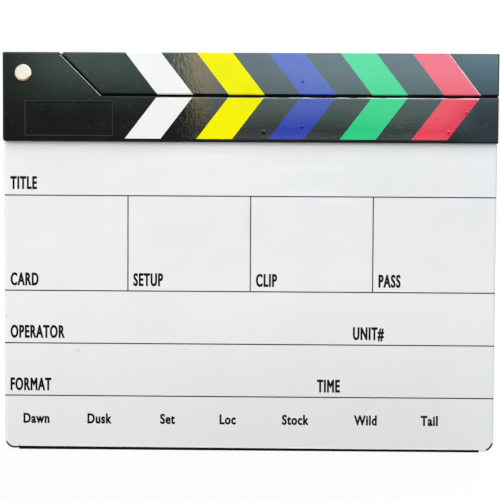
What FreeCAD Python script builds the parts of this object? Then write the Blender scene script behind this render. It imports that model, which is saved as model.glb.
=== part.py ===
import FreeCAD, Part
import os
import re

import Sketcher

# A clapperboard: a white writing board hung from a fixed stick, and a second stick hinged above it.
# Millimetres. X runs to the right, Y to the back and Z up, from the middle of the lower edge.

# Driving sizes
SIZES = {
    # Writing board
    "board_width": 280.0,
    "writing_height": 176.0,
    "board_thickness": 3.0,
    "board_top_gap": 4.7,
    "board_corner_radius": 5.5,
    "board_edge_chamfer": 0.4,
    # Black channel on the lower edge of the board
    "trim_wall": 0.5,
    "trim_flange": 0.7,
    "trim_end_inset": 8.2,
    # Sticks
    "stick_thickness": 14.0,
    "stick_wall": 2.0,
    "stick_edge_chamfer": 0.8,
    "upper_stick_height": 23.6,
    "lower_stick_height": 25.7,
    "strike_gap": 0.9,
    "strike_rib_height": 0.6,
    "strike_rib_width": 6.0,
    "top_corner_radius": 0.9,
    "bottom_corner_radius": 1.6,
    # Bare recess on the front of the hinge block
    "recess_width": 49.3,
    "recess_depth": 0.4,
    "recess_flare": 0.25,
    "recess_left": 12.8,
    "recess_foot_gap": 3.4,
    "recess_top_gap": 3.0,
    # Hinge
    "cheek_top_length": 31.7,
    "nose_cut": 1.0,
    "hinge_gap": 0.6,
    "pivot_inset": 12.0,
    "tongue_thickness": 6.0,
    "tongue_inset": 2.0,
    "tongue_neck": 13.0,
    "tongue_clearance": 0.4,
    "washer_radius": 8.0,
    "washer_thickness": 0.5,
    "face_clearance": 0.05,
    "running_clearance": 0.05,
    # Pivot post and the screw that closes it
    "pivot_radius": 3.0,
    "pivot_head_radius": 4.75,
    "pivot_head_height": 2.3,
    "pivot_head_round": 0.8,
    "pivot_thread_radius": 1.9,
    "pivot_thread_length": 8.0,
    "pivot_end_gap": 0.5,
    "pivot_slot_width": 1.2,
    "pivot_slot_depth": 0.9,
    # Screws through the halves of both sticks
    "screw_radius": 1.2,
    "screw_tip_gap": 1.2,
    "screw_head_radius": 2.6,
    "screw_head_height": 1.7,
    "screw_head_round": 0.5,
    "screw_drive_length": 2.8,
    "screw_drive_width": 0.7,
    "screw_drive_depth": 0.8,
    "screw_hole_clearance": 0.1,
    "counterbore_clearance": 0.4,
    "counterbore_depth": 2.2,
    "boss_wall": 1.2,
    "screw_end_inset": 10.0,
    "upper_screw_root": 8.0,
    "lower_screw_rise": 10.5,
    # Labels and the bands printed on them
    "label_thickness": 0.25,
    "print_thickness": 0.1,
    "label_foot_gap": 1.7,
    "label_margin": 0.35,
    "label_gap": 25.5,
    "label_end_inset": 10.5,
    "upper_stripe_lean": 18.2,
    "lower_stripe_lean": 18.4,
    # Distance that every cut runs past the solid
    "overrun": 5.0,
}

COLOURS = ("white", "yellow", "blue", "green", "red")
BAND_COUNT = 2 * len(COLOURS) - 1
SIDES = ("front", "rear")
LOWER_SCREW_COUNT = 5
UPPER_SCREW_COUNT = 4

# Places worked out from the driving sizes
PLACES = {
    "board_half": "board_thickness / 2",
    "board_bottom": "trim_wall",
    "lower_bottom": "board_bottom + writing_height",
    "lower_top": "lower_bottom + lower_stick_height",
    "upper_bottom": "lower_top + strike_gap",
    "stick_top": "upper_bottom + upper_stick_height",
    "board_top": "lower_top - board_top_gap",
    "stick_half": "stick_thickness / 2",
    "stick_length": "board_width",
    "stick_left": "-stick_length / 2",
    "stick_right": "stick_length / 2",
    "hollow_half": "stick_half - stick_wall",
    "recess_start": "stick_left + recess_left",
    "recess_end": "recess_start + recess_width",
    "slot_half": "board_half + face_clearance",
    "pivot_x": "stick_left + pivot_inset",
    "pivot_z": "upper_bottom + upper_stick_height / 2",
    "cheek_head": "stick_left + cheek_top_length",
    "cheek_foot": "cheek_head + stick_top - lower_top",
    "joint_shift": "hinge_gap * sqrt(2)",
    "upper_head": "cheek_head + joint_shift",
    "upper_foot": "upper_head + upper_stick_height",
    "upper_hollow_left": "upper_foot + stick_wall",
    "tongue_half": "tongue_thickness / 2",
    "tongue_radius": "upper_stick_height / 2 - tongue_inset",
    "tongue_reach": "tongue_radius + tongue_clearance",
    "shoulder_left": "pivot_x + tongue_neck",
    "washer_near": "tongue_half + face_clearance",
    "washer_far": "washer_near + washer_thickness",
    "cavity_half": "washer_far + face_clearance",
    "bore_radius": "pivot_radius + running_clearance",
    "post_end": "stick_half - pivot_end_gap",
    "head_face": "stick_half + pivot_head_height",
    "pilot_radius": "screw_radius + screw_hole_clearance",
    "counterbore_radius": "screw_head_radius + counterbore_clearance",
    "boss_radius": "counterbore_radius + boss_wall",
    "screw_seat": "stick_half - counterbore_depth",
    "screw_tip": "screw_tip_gap - hollow_half",
    "screw_last": "stick_right - screw_end_inset",
    "lower_screw_first": "stick_left + screw_end_inset",
    "lower_screw_row": "lower_bottom + lower_screw_rise",
    "upper_screw_first": "upper_hollow_left + upper_screw_root",
    "upper_screw_row": "pivot_z",
    "label_foot": "lower_bottom + label_foot_gap",
    "first_stripe": "recess_end + label_gap",
    "last_stripe_end": "stick_right - label_end_inset",
    "band_width": f"(last_stripe_end - first_stripe) / {BAND_COUNT}",
    "print_face": "label_thickness + print_thickness",
}

# Ids that a sketch uses for its own origin and for the points of a line or circle
ORIGIN = -1
START = 1
END = 2
CENTRE = 3

# How closely an edge must lie on a plane or line to be picked
MATCH = 1e-4

doc = FreeCAD.newDocument("clapperboard")
sheet = doc.addObject("Spreadsheet::Sheet", "Sizes")
for row, (alias, size) in enumerate(SIZES.items(), 1):
    sheet.set(f"A{row}", alias)
    sheet.set(f"B{row}", str(size))
    sheet.setAlias(f"B{row}", alias)
doc.recompute()

subparts = []


# Formulas
def formula(text):
    """Spell a formula written in size and place names as the sheet reads it."""

    def spell(match):
        word = match.group()
        if word in SIZES:
            return f"Sizes.{word}"
        if word in PLACES:
            return f"({formula(PLACES[word])})"
        return word

    return re.sub(r"[a-z][a-z_]+", spell, text)


def value(text):
    """Work a formula out as a number."""
    return float(sheet.evalExpression(formula(text)))


def bind(item, name, text):
    """Tie a property to a formula."""
    item.setExpression(name, formula(text))


# Sketches
def new_body(label, x="0", z="0"):
    """Start a sub-part, with its own origin at a place on the middle plane."""
    body = doc.addObject("PartDesign::Body", label)
    body.Label = label
    bind(body, "Placement.Base.x", x)
    bind(body, "Placement.Base.z", z)
    subparts.append(body)
    return body


def origin_feature(body, role):
    """Find a plane or an axis of a body's own origin."""
    return next(item for item in body.Origin.OriginFeatures if item.Role == role)


def new_sketch(body, role, name, offset="0"):
    """Start a sketch on one of the body's origin planes, moved along the plane's normal."""
    sketch = body.newObject("Sketcher::SketchObject", f"{body.Name}_{name}")
    sketch.AttachmentSupport = [(origin_feature(body, role), "")]
    sketch.MapMode = "FlatFace"
    bind(sketch, "AttachmentOffset.Base.z", offset)
    return sketch


def hold_point(sketch, geometry, point, across, up):
    """Fix one point of a sketch at its distances from the sketch's origin."""
    for kind, text in (("DistanceX", across), ("DistanceY", up)):
        rule = Sketcher.Constraint(kind, ORIGIN, START, geometry, point, value(text))
        index = sketch.addConstraint(rule)
        bind(sketch, f"Constraints[{index}]", text)


def draw_polygon(sketch, points):
    """Draw a closed chain of lines through points given as pairs of formulas."""
    corners = [FreeCAD.Vector(value(across), value(up), 0) for across, up in points]
    lines = []
    for i, corner in enumerate(corners):
        following = corners[(i + 1) % len(corners)]
        lines.append(sketch.addGeometry(Part.LineSegment(corner, following)))
    for i, line in enumerate(lines):
        following = lines[(i + 1) % len(lines)]
        sketch.addConstraint(Sketcher.Constraint("Coincident", line, END, following, START))
    for line, (across, up) in zip(lines, points):
        hold_point(sketch, line, START, across, up)


def draw_rectangle(sketch, left, bottom, right, top):
    """Draw an upright rectangle."""
    draw_polygon(sketch, [(left, bottom), (right, bottom), (right, top), (left, top)])


def draw_circle(sketch, across, up, radius):
    """Draw a circle about a centre."""
    centre = FreeCAD.Vector(value(across), value(up), 0)
    circle = sketch.addGeometry(Part.Circle(centre, FreeCAD.Vector(0, 0, 1), value(radius)))
    hold_point(sketch, circle, CENTRE, across, up)
    index = sketch.addConstraint(Sketcher.Constraint("Radius", circle, value(radius)))
    bind(sketch, f"Constraints[{index}]", radius)


# Features
def pad(body, sketch, length, towards):
    """Raise a sketch to the front or the rear, or evenly to both sides of its plane."""
    feature = body.newObject("PartDesign::Pad", f"{sketch.Name}_pad")
    feature.Profile = sketch
    feature.Reversed = towards == "rear"
    if towards == "both":
        feature.SideType = "Symmetric"
    bind(feature, "Length", length)
    doc.recompute()
    return feature


def pocket(body, sketch, depth, towards):
    """Cut a sketch into the body towards the front or the rear, and make sure that it bites."""
    before = body.Tip.Shape.Volume
    feature = body.newObject("PartDesign::Pocket", f"{sketch.Name}_pocket")
    feature.Profile = sketch
    feature.Reversed = towards == "front"
    if towards == "both":
        feature.SideType = "Symmetric"
    bind(feature, "Length", depth)
    doc.recompute()
    if feature.Shape.Volume >= before:
        raise RuntimeError(f"{feature.Name} cuts nothing")
    return feature


def revolve(body, sketch):
    """Turn a half section about the body's Y axis."""
    feature = body.newObject("PartDesign::Revolution", f"{sketch.Name}_turn")
    feature.Profile = sketch
    feature.ReferenceAxis = (sketch, ["V_Axis"])
    feature.Angle = 360
    doc.recompute()
    return feature


def dress(body, kind, edges, size_name, size):
    """Fillet or chamfer named edges of the body's last feature."""
    base = body.Tip
    feature = body.newObject(f"PartDesign::{kind}", f"{base.Name}_{kind.lower()}")
    feature.Base = (base, edges)
    bind(feature, size_name, size)
    doc.recompute()
    return feature


def edges_on_plane(shape, across_y):
    """Name the edges that lie in a plane facing the front or the rear."""
    names = []
    for number, edge in enumerate(shape.Edges, 1):
        middle = edge.valueAt((edge.FirstParameter + edge.LastParameter) / 2)
        points = [vertex.Point for vertex in edge.Vertexes] + [middle]
        if all(abs(point.y - across_y) < MATCH for point in points):
            names.append(f"Edge{number}")
    return names


def edges_along_y(shape, x, z):
    """Name the edges that run from front to back through a place."""
    names = []
    for number, edge in enumerate(shape.Edges, 1):
        points = [vertex.Point for vertex in edge.Vertexes]
        if all(abs(point.x - x) < MATCH and abs(point.z - z) < MATCH for point in points):
            names.append(f"Edge{number}")
    return names


def outward(side, distance):
    """Distance along a front plane's normal, which points to the front, of a plane on one side."""
    return distance if side == "front" else f"-({distance})"


def opposite(side):
    """The other side."""
    return "rear" if side == "front" else "front"


def screw_places(first, last, count):
    """Even places of a row of screws."""
    return [f"{first} + ({last} - {first}) * {i} / {count - 1}" for i in range(count)]


# Moulded halves of the sticks
def add_hollow(body, side, left, bottom, top, places, row):
    """Hollow a half from the middle plane, leaving its walls and a boss round every screw."""
    sketch = new_sketch(body, "XZ_Plane", "hollow")
    draw_rectangle(sketch, left, bottom, "stick_right - stick_wall", top)
    for place in places:
        draw_circle(sketch, place, row, "boss_radius")
    pocket(body, sketch, "hollow_half", side)


def add_screw_holes(body, side, places, row):
    """Bore pilot holes into a front half, or clear holes and counterbores through a rear half."""
    holes = new_sketch(body, "XZ_Plane", "screw_holes")
    for place in places:
        draw_circle(holes, place, row, "pilot_radius")
    if side == "front":
        pocket(body, holes, "hollow_half", side)
        return
    pocket(body, holes, "stick_half + overrun", side)
    seats = new_sketch(body, "XZ_Plane", "counterbores", outward(side, "screw_seat"))
    for place in places:
        draw_circle(seats, place, row, "counterbore_radius")
    pocket(body, seats, "counterbore_depth + overrun", side)


def soften_outer_edges(body, side):
    """Break the edges round the outer face of a half."""
    face_y = value("stick_half") * (-1 if side == "front" else 1)
    dress(body, "Chamfer", edges_on_plane(body.Tip.Shape, face_y), "Size", "stick_edge_chamfer")


def lower_stick_half(side):
    """Half of the fixed stick: the bar, and the cheek that rises beside the hinge tongue."""
    body = new_body(f"lower_stick_{side}")
    outline = new_sketch(body, "XZ_Plane", "outline")
    draw_polygon(outline, [
        ("stick_left", "lower_bottom"),
        ("stick_right", "lower_bottom"),
        ("stick_right", "lower_top"),
        ("cheek_foot", "lower_top"),
        ("cheek_head", "stick_top"),
        ("stick_left", "stick_top"),
    ])
    pad(body, outline, "stick_half", side)
    for corner, radius in (("stick_top", "top_corner_radius"), ("lower_bottom", "bottom_corner_radius")):
        edges = edges_along_y(body.Tip.Shape, value("stick_left"), value(corner))
        dress(body, "Fillet", edges, "Radius", radius)
    soften_outer_edges(body, side)

    places = screw_places("lower_screw_first", "screw_last", LOWER_SCREW_COUNT)
    add_hollow(body, side, "stick_left + stick_wall", "lower_bottom + stick_wall",
               "lower_top - stick_wall", places, "lower_screw_row")

    slot = new_sketch(body, "XZ_Plane", "board_slot")
    draw_rectangle(slot, "stick_left - overrun", "lower_bottom - overrun",
                   "stick_right + overrun", "board_top + face_clearance")
    pocket(body, slot, "slot_half", side)

    cavity = new_sketch(body, "XZ_Plane", "tongue_cavity")
    draw_polygon(cavity, [
        ("pivot_x - tongue_reach", "pivot_z - tongue_reach"),
        ("shoulder_left - tongue_clearance", "pivot_z - tongue_reach"),
        ("shoulder_left - tongue_clearance", "lower_top"),
        ("cheek_foot + overrun", "lower_top"),
        ("cheek_foot + overrun", "stick_top + overrun"),
        ("pivot_x - tongue_reach", "stick_top + overrun"),
    ])
    pocket(body, cavity, "cavity_half", side)

    bore = new_sketch(body, "XZ_Plane", "pivot_bore")
    draw_circle(bore, "pivot_x", "pivot_z", "bore_radius")
    pocket(body, bore, "stick_half + overrun", side)
    add_screw_holes(body, side, places, "lower_screw_row")

    if side == "front":
        recess = new_sketch(body, "XZ_Plane", "recess", "stick_half")
        draw_rectangle(recess, "recess_start", "lower_bottom + recess_foot_gap",
                       "recess_end", "lower_top - recess_top_gap")
        sunk = pocket(body, recess, "recess_depth", opposite(side))
        bind(sunk, "TaperAngle", "-atan(recess_flare / recess_depth)")
        doc.recompute()


def upper_stick_half(side):
    """Half of the moving stick, with its half of the tongue that reaches in to the pivot."""
    body = new_body(f"upper_stick_{side}")
    outline = new_sketch(body, "XZ_Plane", "outline")
    draw_polygon(outline, [
        ("upper_foot", "upper_bottom"),
        ("stick_right", "upper_bottom"),
        ("stick_right", "stick_top"),
        ("upper_head + 2 * nose_cut", "stick_top"),
        ("upper_head + nose_cut", "stick_top - nose_cut"),
    ])
    pad(body, outline, "stick_half", side)
    soften_outer_edges(body, side)

    places = screw_places("upper_screw_first", "screw_last", UPPER_SCREW_COUNT)
    add_hollow(body, side, "upper_hollow_left", "upper_bottom + stick_wall",
               "stick_top - stick_wall", places, "upper_screw_row")
    add_screw_holes(body, side, places, "upper_screw_row")

    rib = new_sketch(body, "XZ_Plane", "strike_rib")
    draw_rectangle(rib, "upper_foot", "upper_bottom - strike_rib_height",
                   "stick_right", "upper_bottom + stick_wall")
    pad(body, rib, "strike_rib_width / 2", side)

    shoulder = new_sketch(body, "XZ_Plane", "tongue_shoulder")
    draw_rectangle(shoulder, "shoulder_left", "upper_bottom", "upper_foot", "pivot_z + tongue_radius")
    pad(body, shoulder, "tongue_half", side)
    arm = new_sketch(body, "XZ_Plane", "tongue_arm")
    draw_rectangle(arm, "pivot_x", "pivot_z - tongue_radius", "shoulder_left", "pivot_z + tongue_radius")
    pad(body, arm, "tongue_half", side)
    eye = new_sketch(body, "XZ_Plane", "tongue_eye")
    draw_circle(eye, "pivot_x", "pivot_z", "tongue_radius")
    pad(body, eye, "tongue_half", side)
    bore = new_sketch(body, "XZ_Plane", "pivot_bore")
    draw_circle(bore, "pivot_x", "pivot_z", "bore_radius")
    pocket(body, bore, "tongue_half + overrun", side)


# Writing board and its edge trim
def writing_board():
    """White sheet whose upper edge is clamped in the fixed stick."""
    body = new_body("writing_board")
    outline = new_sketch(body, "XZ_Plane", "outline")
    draw_rectangle(outline, "-board_width / 2", "board_bottom", "board_width / 2", "board_top")
    pad(body, outline, "board_thickness", "both")
    corners = []
    for corner in ("-board_width / 2", "board_width / 2"):
        corners += edges_along_y(body.Tip.Shape, value(corner), value("board_bottom"))
    dress(body, "Fillet", corners, "Radius", "board_corner_radius")
    face_y = value("board_half")
    rims = edges_on_plane(body.Tip.Shape, -face_y) + edges_on_plane(body.Tip.Shape, face_y)
    dress(body, "Chamfer", rims, "Size", "board_edge_chamfer")
    holes = new_sketch(body, "XZ_Plane", "screw_holes")
    for place in screw_places("lower_screw_first", "screw_last", LOWER_SCREW_COUNT):
        draw_circle(holes, place, "lower_screw_row", "pilot_radius")
    pocket(body, holes, "board_thickness + overrun", "both")


def bottom_edge_trim():
    """Channel pushed on to the lower edge of the board."""
    body = new_body("bottom_edge_trim")
    section = new_sketch(body, "YZ_Plane", "section")
    outer = "slot_half + trim_wall"
    top = "board_bottom + trim_flange"
    draw_polygon(section, [
        (f"-({outer})", "0"),
        (outer, "0"),
        (outer, top),
        ("slot_half", top),
        ("slot_half", "board_bottom"),
        ("-slot_half", "board_bottom"),
        ("-slot_half", top),
        (f"-({outer})", top),
    ])
    pad(body, section, "board_width - 2 * trim_end_inset", "both")


# Pivot
def turned_piece(label, x, z, half_section):
    """Solid turned about a line from front to back, from points of radius and depth."""
    body = new_body(label, x, z)
    sketch = new_sketch(body, "XY_Plane", "half_section")
    draw_polygon(sketch, half_section)
    revolve(body, sketch)
    return body


def round_head(body, face_y, radius):
    """Round the rim of a turned head's outer face."""
    dress(body, "Fillet", edges_on_plane(body.Tip.Shape, value(face_y)), "Radius", radius)


def pivot_post():
    """Plain headed barrel that the moving stick turns on."""
    thread_end = "post_end - pivot_thread_length"
    body = turned_piece("pivot_post", "pivot_x", "pivot_z", [
        ("0", "-head_face"),
        ("pivot_head_radius", "-head_face"),
        ("pivot_head_radius", "-stick_half"),
        ("pivot_radius", "-stick_half"),
        ("pivot_radius", "post_end"),
        ("pivot_thread_radius", "post_end"),
        ("pivot_thread_radius", thread_end),
        ("0", thread_end),
    ])
    round_head(body, "-head_face", "pivot_head_round")


def pivot_screw():
    """Slotted screw that closes the post from the rear."""
    shank = "pivot_thread_radius - running_clearance"
    tip = "post_end - pivot_thread_length + pivot_end_gap"
    body = turned_piece("pivot_screw", "pivot_x", "pivot_z", [
        ("0", tip),
        (shank, tip),
        (shank, "stick_half"),
        ("pivot_head_radius", "stick_half"),
        ("pivot_head_radius", "head_face"),
        ("0", "head_face"),
    ])
    round_head(body, "head_face", "pivot_head_round")
    slot = new_sketch(body, "XZ_Plane", "slot", outward("rear", "head_face - pivot_slot_depth"))
    draw_rectangle(slot, "-pivot_head_radius - overrun", "-pivot_slot_width / 2",
                   "pivot_head_radius + overrun", "pivot_slot_width / 2")
    pocket(body, slot, "pivot_slot_depth + overrun", "rear")


def hinge_washer(side):
    """Thin washer between the tongue and one cheek."""
    near = outward(opposite(side), "washer_near")
    far = outward(opposite(side), "washer_far")
    turned_piece(f"{side}_hinge_washer", "pivot_x", "pivot_z", [
        ("bore_radius", near),
        ("washer_radius", near),
        ("washer_radius", far),
        ("bore_radius", far),
    ])


# Screws
def stick_screws(label, first, row, count):
    """Row of alike pan head screws with a cross drive, driven in from the rear."""
    head = "screw_seat + screw_head_height"
    body = turned_piece(label, first, row, [
        ("0", "screw_tip"),
        ("screw_radius", "screw_tip + screw_radius"),
        ("screw_radius", "screw_seat"),
        ("screw_head_radius", "screw_seat"),
        ("screw_head_radius", head),
        ("0", head),
    ])
    round_head(body, head, "screw_head_round")
    length = "screw_drive_length / 2"
    width = "screw_drive_width / 2"
    for name, across, up in (("drive_across", length, width), ("drive_up", width, length)):
        drive = new_sketch(body, "XZ_Plane", name, outward("rear", f"{head} - screw_drive_depth"))
        draw_rectangle(drive, f"-({across})", f"-({up})", across, up)
        pocket(body, drive, "screw_drive_depth + overrun", "rear")
    row_pattern = body.newObject("PartDesign::LinearPattern", f"{label}_row")
    row_pattern.TransformMode = "Whole shape"
    row_pattern.Direction = (origin_feature(body, "X_Axis"), [""])
    bind(row_pattern, "Length", f"screw_last - {first}")
    row_pattern.Occurrences = count
    body.Tip = row_pattern
    doc.recompute()


# Labels and printed bands
def skin_path(stick, lift, wraps_top):
    """Line down the front of a stick, lifted off its face, from upper to lower end, as (y, z)."""
    face = f"-(stick_half + {lift})"
    wrap = f"-(stick_half - stick_edge_chamfer + ({lift}) * sqrt(2))"
    bend = f"stick_edge_chamfer - ({lift}) * tan(22.5 deg)"
    top = "stick_top" if stick == "upper" else "lower_top"
    path = [(wrap, top), (face, f"{top} - ({bend})")]
    if not wraps_top:
        path = [(face, f"{top} - stick_edge_chamfer")]
    if stick == "upper":
        return path + [(face, f"upper_bottom + {bend}"), (wrap, "upper_bottom")]
    return path + [(face, "label_foot")]


def slanted_band(stick, start, end):
    """Slanted window between two places on the edge where the sticks meet, past both edges of a stick."""
    lean = f"{stick}_stripe_lean"
    if stick == "upper":
        outer, inner, height = "stick_top + overrun", "upper_bottom - overrun", "upper_stick_height"
    else:
        outer, inner, height = "label_foot - overrun", "lower_top + overrun", "(lower_top - label_foot)"
    extra = f"{lean} * overrun / {height}"
    return [
        (f"{start} - {lean} - {extra}", outer),
        (f"{end} - {lean} - {extra}", outer),
        (f"{end} + {extra}", inner),
        (f"{start} + {extra}", inner),
    ]


def front_skin(label, stick, low, high, wraps_top, bands):
    """Thin layer on the front of a stick, between two heights off its face, kept only in bands."""
    body = new_body(label)
    section = new_sketch(body, "YZ_Plane", "section")
    outside = skin_path(stick, high, wraps_top)
    inside = skin_path(stick, low, wraps_top)
    draw_polygon(section, outside + inside[::-1])
    pad(body, section, "stick_length", "both")
    windows = new_sketch(body, "XZ_Plane", "windows")
    draw_rectangle(windows, "stick_left - overrun", "lower_bottom - overrun - overrun",
                   "stick_right + overrun", "stick_top + overrun + overrun")
    for start, end in bands:
        draw_polygon(windows, slanted_band(stick, start, end))
    pocket(body, windows, "stick_thickness", "front")


def stripes(stick):
    """Label on the front of a stick, with its coloured and black bands."""
    starts = [f"first_stripe + {2 * i} * band_width" for i in range(len(COLOURS))]
    ends = [f"{start} + band_width" for start in starts]
    on_upper = stick == "upper"
    label_end = f"{ends[-1]} + label_margin" if on_upper else ends[-1]
    front_skin(f"{stick}_label", stick, "0", "label_thickness", True, [(starts[0], label_end)])
    ink = ("label_thickness", "print_face", on_upper)
    front_skin(f"{stick}_black_bands", stick, *ink, list(zip(ends[:-1], starts[1:])))
    for colour, start, end in zip(COLOURS, starts, ends):
        front_skin(f"{stick}_{colour}_stripe", stick, *ink, [(start, end)])


# The whole clapperboard
writing_board()
bottom_edge_trim()
for side in SIDES:
    lower_stick_half(side)
    upper_stick_half(side)
    hinge_washer(side)
pivot_post()
pivot_screw()
stick_screws("lower_stick_screws", "lower_screw_first", "lower_screw_row", LOWER_SCREW_COUNT)
stick_screws("upper_stick_screws", "upper_screw_first", "upper_screw_row", UPPER_SCREW_COUNT)
stripes("upper")
stripes("lower")

# Checks, then one file for each sub-part
doc.recompute()
for item in doc.Objects:
    if "Invalid" in item.State or "Error" in item.State:
        raise RuntimeError(f"{item.Label} failed: {item.State}")
for body in subparts:
    if body.Shape.isNull() or not body.Shape.isValid() or not body.Shape.Solids:
        raise RuntimeError(f"{body.Label} has no sound solid")

os.makedirs("parts", exist_ok=True)
for body in subparts:
    body.Shape.exportStep(os.path.join("parts", f"{body.Label}.step"))
    box = body.Shape.BoundBox
    solids = len(body.Shape.Solids)
    print(f"{body.Label}: {solids} solids, {body.Shape.Volume:.2f} mm3, "
          f"{box.XMin:.2f} to {box.XMax:.2f}, {box.YMin:.2f} to {box.YMax:.2f}, "
          f"{box.ZMin:.2f} to {box.ZMax:.2f}")
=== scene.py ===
import math

import bmesh
import bpy
from mathutils import Matrix, Vector
from mathutils.geometry import delaunay_2d_cdt, interpolate_bezier


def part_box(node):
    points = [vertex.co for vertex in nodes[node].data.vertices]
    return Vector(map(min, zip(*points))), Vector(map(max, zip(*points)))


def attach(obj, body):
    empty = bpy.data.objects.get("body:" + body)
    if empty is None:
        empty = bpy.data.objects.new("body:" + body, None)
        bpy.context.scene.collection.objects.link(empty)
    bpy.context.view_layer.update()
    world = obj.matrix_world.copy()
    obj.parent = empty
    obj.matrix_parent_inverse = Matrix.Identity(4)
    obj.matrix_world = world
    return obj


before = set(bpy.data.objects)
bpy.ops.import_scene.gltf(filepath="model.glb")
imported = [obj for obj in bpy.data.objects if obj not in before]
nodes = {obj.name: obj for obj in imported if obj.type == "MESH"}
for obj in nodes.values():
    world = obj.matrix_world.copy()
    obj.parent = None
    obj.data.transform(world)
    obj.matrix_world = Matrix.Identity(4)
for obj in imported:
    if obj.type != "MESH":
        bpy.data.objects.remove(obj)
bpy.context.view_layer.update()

# A clapperboard: its solids come from the frame, and this script gives them their finishes, prints the
# writing board, and adds the small faults of a used one, with light and shade painted in places. Metres, in
# the frame's own axes.
MM = 0.001
SLATE = "slate"
CLAPPER = "clapper"
STICKS = {"upper": CLAPPER, "lower": SLATE}
scene = bpy.context.scene

# Places read from the frame
board_low, board_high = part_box("writing_board")
trim_low, trim_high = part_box("bottom_edge_trim")
stick_low, stick_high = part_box("lower_stick_front")
post_low, post_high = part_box("pivot_post")
post_middle = (post_low + post_high) / 2
post_radius = post_high.z - post_middle.z
label_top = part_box("lower_label")[1].z
gap_middle = (label_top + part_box("upper_label")[0].z) / 2
film_boxes = {stick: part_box(f"{stick}_black_bands") for stick in STICKS}

# Colours, as linear light
BLACK = (0.0, 0.0, 0.0)
WHITE = (1.0, 1.0, 1.0)
BOARD_WHITE = (0.84, 0.848, 0.84)
BOARD_COOL = (0.81, 0.832, 0.835)
BOARD_WARM = (0.845, 0.832, 0.822)
# Painted light: a lighter, cooler right side of the board
BOARD_RIGHT_LIGHT = (0.94, 0.97, 0.98)
BOARD_LIT = (0.90, 0.90, 0.89)
BOARD_SHADED = (0.76, 0.765, 0.755)
# Painted shade: the board darker towards its bottom
BOARD_LOWER_SHADE = (0.760, 0.780, 0.778)
# Painted shade, on the board's lower corners and on the lower stick's white edging
PAINTED_SHADE = (0.010, 0.008, 0.007)
MOULDED_BLACK = (0.0042, 0.0048, 0.0044)
MOULDED_GREY = (0.0070, 0.0080, 0.0073)
DUST = (0.16, 0.18, 0.17)
# Painted highlight on the hinge block's edges and recess rim
EDGE_HIGHLIGHT = (0.74, 0.78, 0.76)
INK = (0.004, 0.005, 0.006)
INK_THIN = (0.010, 0.011, 0.012)
VINYL_WHITE = (0.89, 0.90, 0.90)
PRINT_BLACK = (0.0060, 0.0085, 0.008)
PRINTS = {
    "white": (0.885, 0.89, 0.89),
    "yellow": (0.90, 0.88, 0.0004),
    "blue": (0.008, 0.023, 0.38),
    "green": (0.005, 0.585, 0.205),
    "red": (0.78, 0.014, 0.060),
}
NICKEL = (0.72, 0.69, 0.64)
NICKEL_BRIGHT = (0.84, 0.81, 0.76)
# Painted light: a warmer, brighter copy of the nickel for the front pivot head
NICKEL_WARM_LIT = (0.90, 0.75, 0.67)
NICKEL_WARM_LIT_BRIGHT = (1.0, 0.87, 0.79)
# Painted shade on the side of the pivot head
HEAD_SIDE_SHADE = (0.030, 0.026, 0.021)
BRASS = (0.50, 0.22, 0.06)
BRASS_PALE = (0.80, 0.62, 0.36)
BRASS_OLIVE = (0.26, 0.20, 0.09)
ZINC = (0.52, 0.535, 0.55)
ZINC_WARM = (0.58, 0.555, 0.49)
NYLON = (0.74, 0.73, 0.68)
NYLON_SHADE = (0.66, 0.645, 0.585)
TRIM_BLACK = (0.004, 0.004, 0.0045)
TRIM_GREY = (0.008, 0.008, 0.009)

# Which part of an uneven pattern shows: the two levels between which it eases
SOFT = (0.3, 0.7)
EVEN = (0.35, 0.65)
PEAKS = (0.45, 0.75)
NO_STRETCH = (1.0, 1.0, 1.0)


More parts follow.
